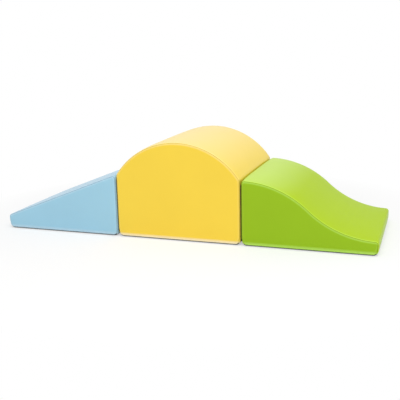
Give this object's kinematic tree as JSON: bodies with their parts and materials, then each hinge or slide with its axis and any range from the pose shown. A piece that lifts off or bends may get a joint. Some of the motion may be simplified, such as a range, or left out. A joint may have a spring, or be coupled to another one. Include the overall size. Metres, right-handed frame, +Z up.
{
  "type": "soft play foam climber",
  "caption": "Soft play climber of upholstered foam blocks in a row: straight ramp, round-topped hump and wave-shaped slide.",
  "frame": {"origin": "on the floor under the middle of the hump block, which is the middle of the whole row", "axes": "+X from the hump towards the wave slide, +Y from the front side to the back side, +Z up"},
  "size_m": [1.809, 0.6, 0.46],
  "materials": {
    "blue_cover": "pale blue leatherette, fine grain, satin",
    "yellow_cover": "warm yellow leatherette, fine grain, satin",
    "green_cover": "apple green leatherette, fine grain, satin",
    "foam": "cream upholstery foam, matt",
    "base_cloth": "dark textured anti-slip cloth, matt",
    "zip_tape": "black woven tape",
    "zip_teeth": "black nylon",
    "zip_metal": "nickel-grey metal",
    "hook_and_loop": "black hook and loop tape"
  },
  "bodies": {
    "ramp": {"ramp_back_panel": "blue_cover", "ramp_base_panel": "base_cloth", "ramp_foam_core": "foam", "ramp_front_panel": "blue_cover", "ramp_loop_strip_back": "hook_and_loop", "ramp_loop_strip_front": "hook_and_loop", "ramp_wrap_panel": "blue_cover", "ramp_zip_bottom_stop": "zip_metal", "ramp_zip_tape_back": "zip_tape", "ramp_zip_tape_front": "zip_tape", "ramp_zip_teeth_back": "zip_teeth", "ramp_zip_teeth_front": "zip_teeth", "ramp_zip_top_stop_back": "zip_metal", "ramp_zip_top_stop_front": "zip_metal"},
    "hump": {"hump_back_panel": "yellow_cover", "hump_base_panel": "base_cloth", "hump_foam_core": "foam", "hump_front_panel": "yellow_cover", "hump_hook_strip_ramp_side_back": "hook_and_loop", "hump_hook_strip_ramp_side_front": "hook_and_loop", "hump_hook_strip_slide_side_back": "hook_and_loop", "hump_hook_strip_slide_side_front": "hook_and_loop", "hump_wrap_panel": "yellow_cover", "hump_zip_bottom_stop": "zip_metal", "hump_zip_tape_back": "zip_tape", "hump_zip_tape_front": "zip_tape", "hump_zip_teeth_back": "zip_teeth", "hump_zip_teeth_front": "zip_teeth", "hump_zip_top_stop_back": "zip_metal", "hump_zip_top_stop_front": "zip_metal"},
    "slide": {"slide_back_panel": "green_cover", "slide_base_panel": "base_cloth", "slide_foam_core": "foam", "slide_front_panel": "green_cover", "slide_loop_strip_back": "hook_and_loop", "slide_loop_strip_front": "hook_and_loop", "slide_wrap_panel": "green_cover", "slide_zip_bottom_stop": "zip_metal", "slide_zip_tape_back": "zip_tape", "slide_zip_tape_front": "zip_tape", "slide_zip_teeth_back": "zip_teeth", "slide_zip_teeth_front": "zip_teeth", "slide_zip_top_stop_back": "zip_metal", "slide_zip_top_stop_front": "zip_metal"},
    "ramp_zip_slider": {"ramp_zip_slider": "zip_metal"},
    "ramp_zip_pull": {"ramp_zip_pull": "zip_metal"},
    "hump_zip_slider": {"hump_zip_slider": "zip_metal"},
    "hump_zip_pull": {"hump_zip_pull": "zip_metal"},
    "slide_zip_slider": {"slide_zip_slider": "zip_metal"},
    "slide_zip_pull": {"slide_zip_pull": "zip_metal"}
  },
  "joints": [
    {"name": "ramp_pull_away", "type": "slide", "parent": "hump", "child": "ramp", "axis": [-1, 0, 0], "range_m": [0, 0.4]},
    {"name": "slide_pull_away", "type": "slide", "parent": "hump", "child": "slide", "axis": [1, 0, 0], "range_m": [0, 0.4]},
    {"name": "ramp_zip_run", "type": "slide", "parent": "ramp", "child": "ramp_zip_slider", "axis": [-1, 0, 0], "range_m": [0, 0.459]},
    {"name": "hump_zip_run", "type": "slide", "parent": "hump", "child": "hump_zip_slider", "axis": [-1, 0, 0], "range_m": [0, 0.459]},
    {"name": "slide_zip_run", "type": "slide", "parent": "slide", "child": "slide_zip_slider", "axis": [-1, 0, 0], "range_m": [0, 0.459]},
    {"name": "ramp_zip_pull_hinge", "type": "hinge", "parent": "ramp_zip_slider", "child": "ramp_zip_pull", "pos_m": [-0.3653, 0.2, 0.0036], "axis": [0, -1, 0], "range_deg": [0, 150]},
    {"name": "hump_zip_pull_hinge", "type": "hinge", "parent": "hump_zip_slider", "child": "hump_zip_pull", "pos_m": [0.2392, 0.2, 0.0036], "axis": [0, -1, 0], "range_deg": [0, 150]},
    {"name": "slide_zip_pull_hinge", "type": "hinge", "parent": "slide_zip_slider", "child": "slide_zip_pull", "pos_m": [0.8437, 0.2, 0.0036], "axis": [0, -1, 0], "range_deg": [0, 150]}
  ]
}
